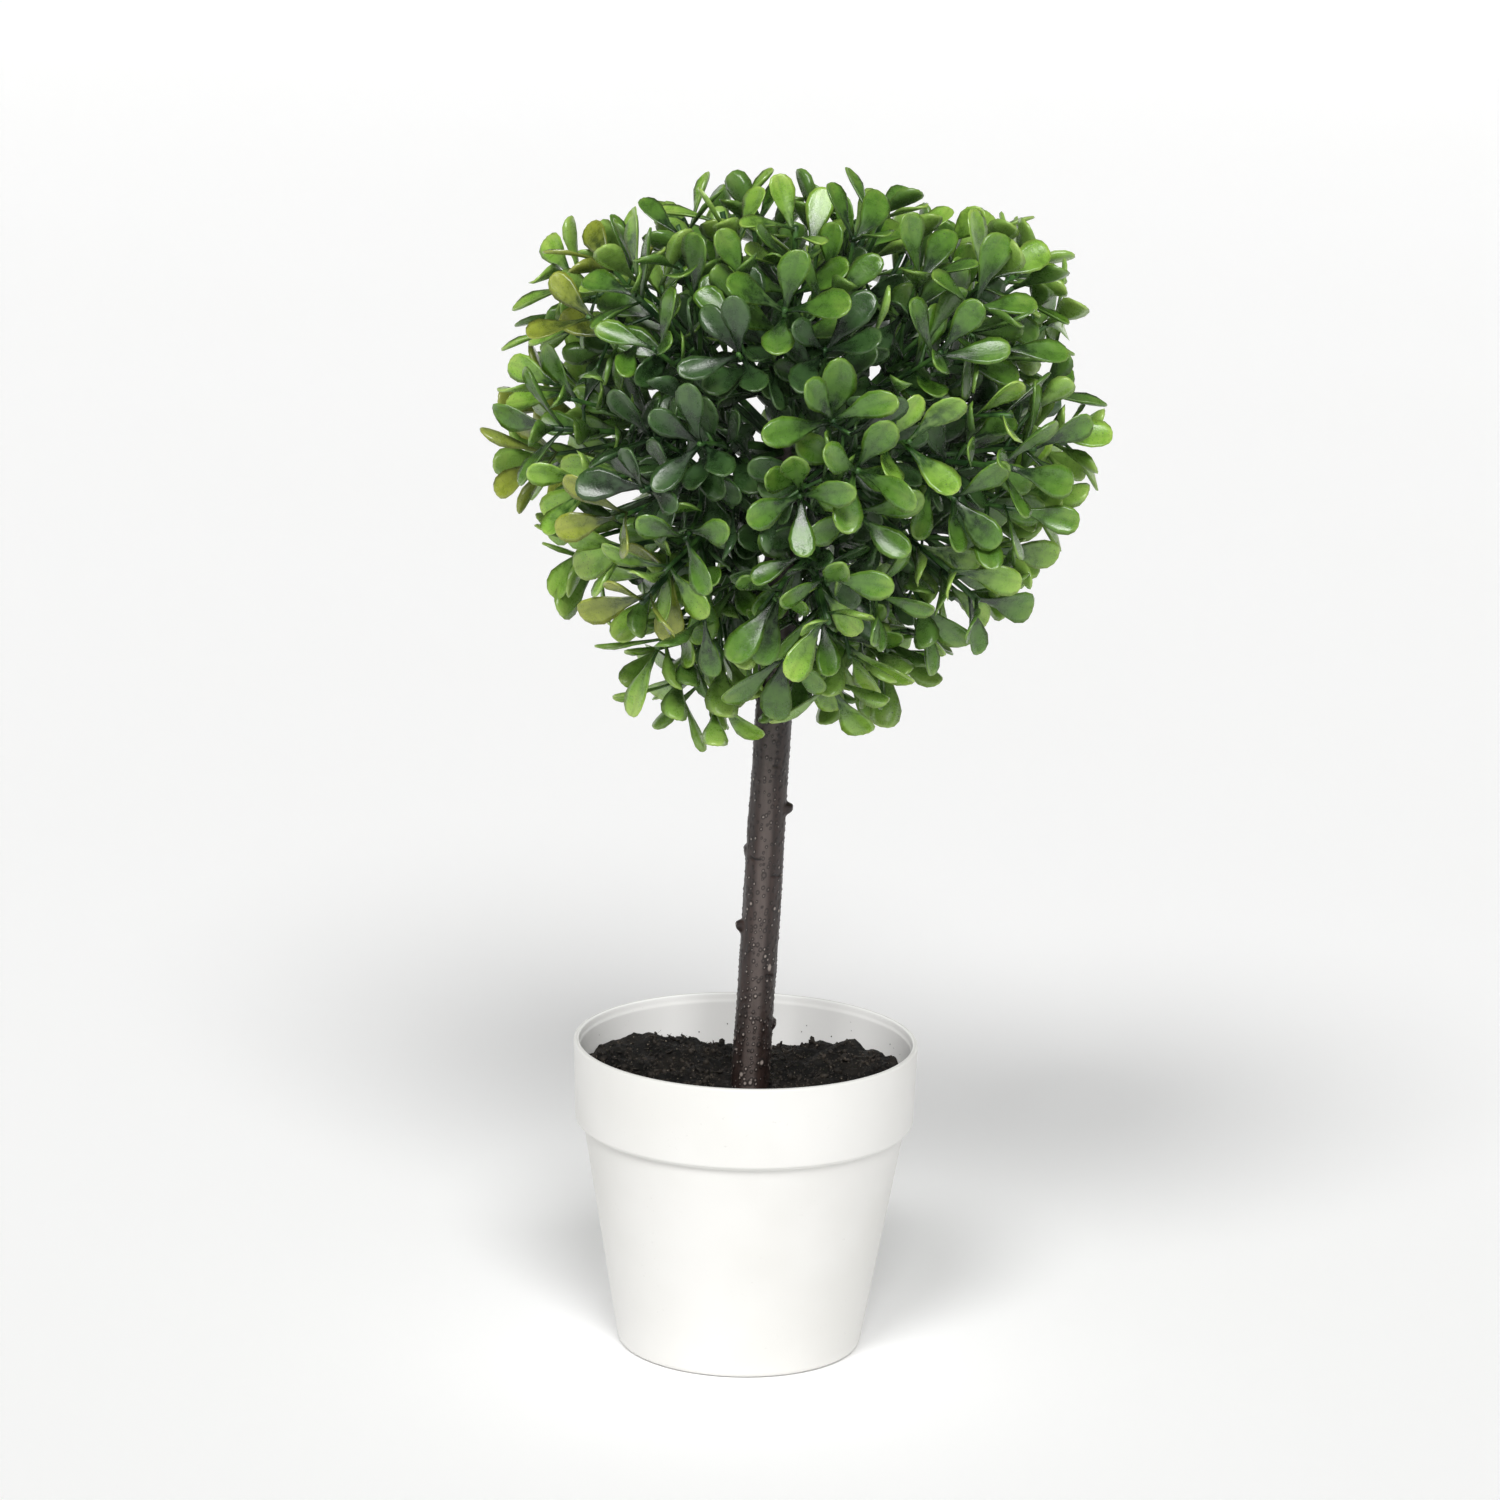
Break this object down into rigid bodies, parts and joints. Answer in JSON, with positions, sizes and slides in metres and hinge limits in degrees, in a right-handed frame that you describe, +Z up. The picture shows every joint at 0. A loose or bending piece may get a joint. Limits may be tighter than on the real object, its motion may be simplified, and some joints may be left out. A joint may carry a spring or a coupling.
{
  "type": "artificial boxwood ball tree in a pot",
  "caption": "Small artificial boxwood tree: a round crown of moulded leaf sprays on a slim, slightly leaning stick, set in soil in a tapered pot with a banded rim.",
  "frame": {"origin": "centre of the pot's flat underside, where the plant stands", "axes": "+Z up; -Y towards the viewer of the picture, +X to the viewer's right, the way the stick leans"},
  "size_m": [0.1506, 0.1551, 0.2945],
  "materials": {
    "pot_plastic": "satin",
    "soil": "matte",
    "stick_bark": "satin",
    "foliage": "satin"
  },
  "bodies": {
    "root": {"pot": "pot_plastic", "soil": "soil", "trunk": "stick_bark", "spray_top_1": "foliage", "spray_top_2": "foliage", "spray_top_3": "foliage", "spray_shoulder_1": "foliage", "spray_shoulder_2": "foliage", "spray_shoulder_3": "foliage", "spray_shoulder_4": "foliage", "spray_shoulder_5": "foliage", "spray_shoulder_6": "foliage", "spray_shoulder_7": "foliage", "spray_side_1": "foliage", "spray_side_2": "foliage", "spray_side_3": "foliage", "spray_side_4": "foliage", "spray_side_5": "foliage", "spray_side_6": "foliage", "spray_side_7": "foliage", "spray_side_8": "foliage", "spray_side_9": "foliage", "spray_under_1": "foliage", "spray_under_2": "foliage", "spray_under_3": "foliage", "spray_under_4": "foliage", "spray_under_5": "foliage", "spray_under_6": "foliage", "spray_under_7": "foliage", "spray_hanging_1": "foliage", "spray_hanging_2": "foliage", "spray_hanging_3": "foliage", "spray_hanging_4": "foliage"}
  },
  "joints": []
}
